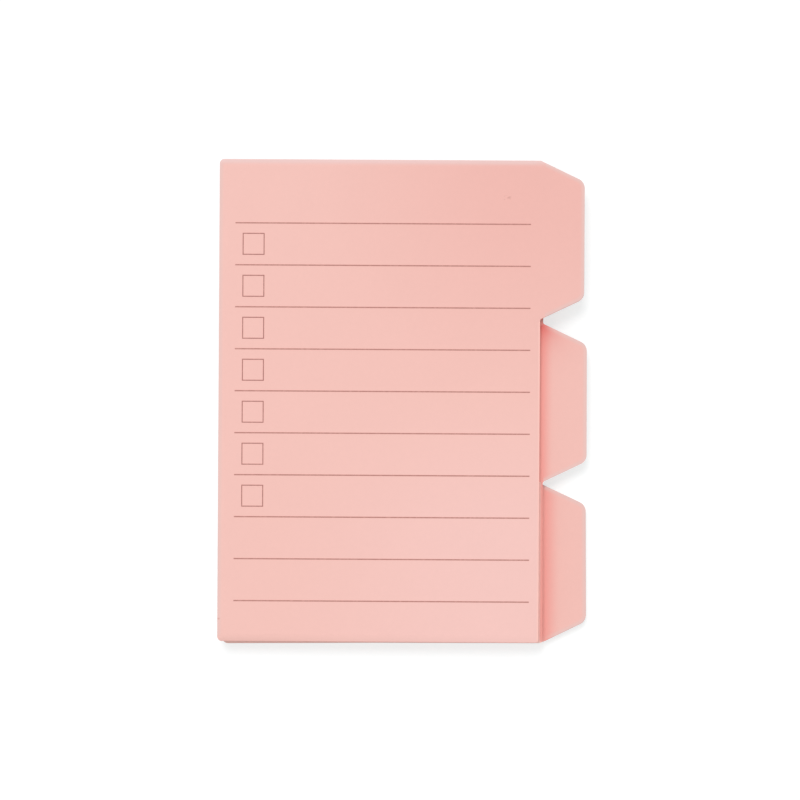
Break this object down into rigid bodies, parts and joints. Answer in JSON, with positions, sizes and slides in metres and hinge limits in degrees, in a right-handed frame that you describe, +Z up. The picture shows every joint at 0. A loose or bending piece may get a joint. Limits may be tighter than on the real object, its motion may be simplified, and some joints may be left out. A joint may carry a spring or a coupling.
{
  "type": "pack of sticky index tabs",
  "caption": "Stacked pads of ruled sticky notes with index tabs stepping down one side, check boxes on the front sheet, and a plain backing card.",
  "frame": {"origin": "the middle of the whole stack seen from above, on the surface that it lies on", "axes": "+X from the glued edge towards the tabs, +Y towards the head of the sheets, +Z up through the stack"},
  "size_m": [0.0768, 0.1008, 0.0058],
  "materials": {
    "note_paper": "uncoated, matte, dyed pale pink",
    "printed_ink": "thin offset print, matte, dusty brown-pink",
    "adhesive": "removable adhesive, dull and slightly tacky",
    "backing_card": "plain uncoated board, off-white"
  },
  "bodies": {
    "root": {"top_pad": "note_paper", "middle_pad": "note_paper", "bottom_pad": "note_paper", "top_adhesive": "adhesive", "middle_adhesive": "adhesive", "bottom_adhesive": "adhesive", "backing_card": "backing_card", "ruled_lines": "printed_ink", "check_boxes": "printed_ink"}
  },
  "joints": []
}
